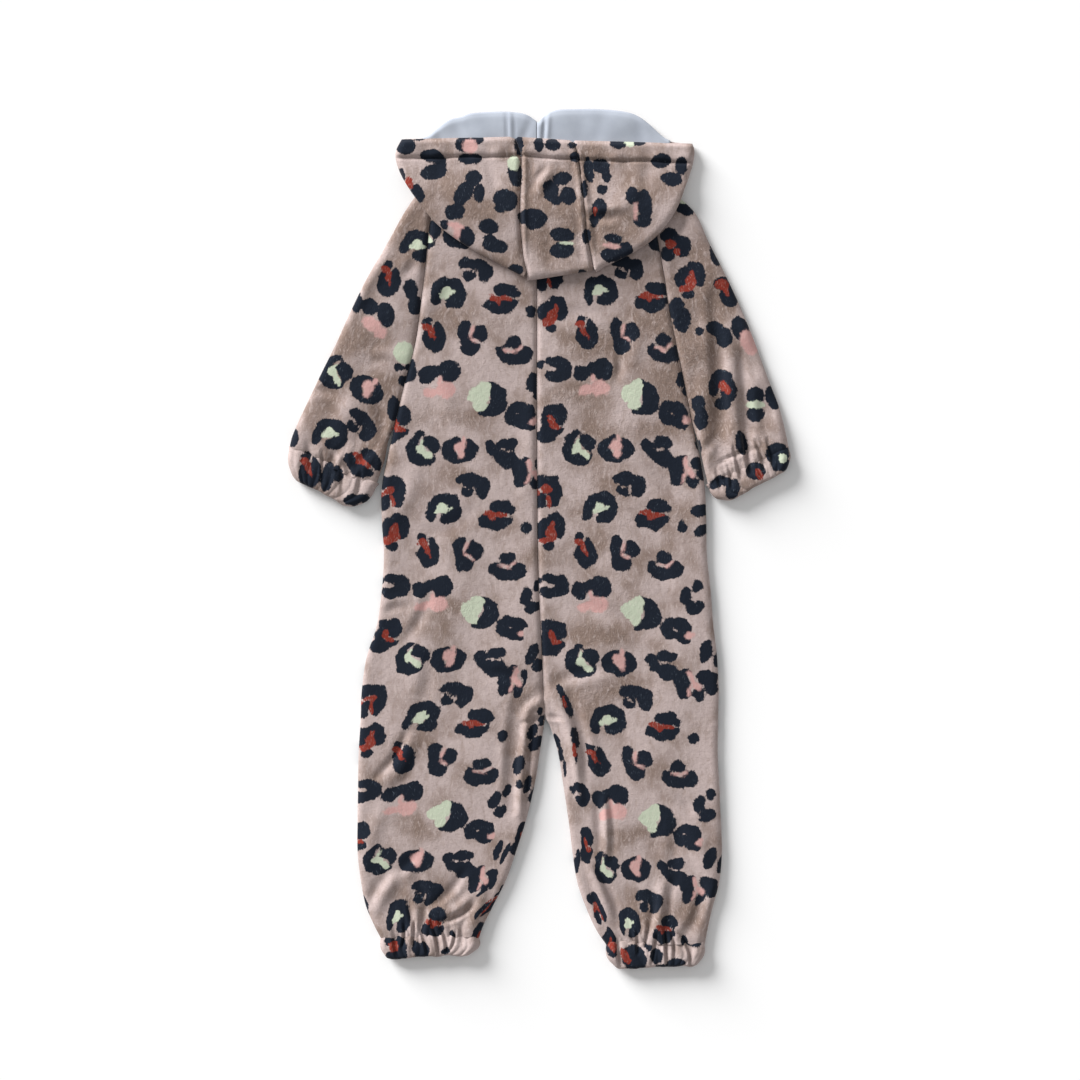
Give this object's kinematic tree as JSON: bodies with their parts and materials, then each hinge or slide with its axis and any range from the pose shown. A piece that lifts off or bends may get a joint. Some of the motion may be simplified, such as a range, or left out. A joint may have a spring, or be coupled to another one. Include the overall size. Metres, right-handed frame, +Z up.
{
  "type": "onesie pajama",
  "caption": "Small child's hooded plush fleece onesie laid flat face down, hood flopped over the back, gathered elastic wrists and ankles, closed front zip beneath.",
  "frame": {"origin": "centre of the garment's outline, on the surface that it lies on", "axes": "+Y towards the hood, +X to the wearer's right, +Z up from the surface to the back of the garment"},
  "size_m": [0.4651, 0.7984, 0.0185],
  "materials": {
    "fleece": "short brushed plush pile, dusty pink beige with dark animal spots",
    "lining": "thin plain knit, pale blue grey",
    "zip": "moulded coil and slider, grey"
  },
  "bodies": {
    "root": {"back_left": "fleece", "back_right": "fleece", "front_left": "fleece", "front_right": "fleece", "sleeve_left": "fleece", "sleeve_right": "fleece", "sleeve_cuff_left": "fleece", "sleeve_cuff_right": "fleece", "ankle_cuff_left": "fleece", "ankle_cuff_right": "fleece", "hood_side_left": "fleece", "hood_side_right": "fleece", "hood_gusset": "fleece", "hood_lining_left": "lining", "hood_lining_right": "lining", "zip_tape": "zip", "zip_slider": "zip"}
  },
  "joints": []
}
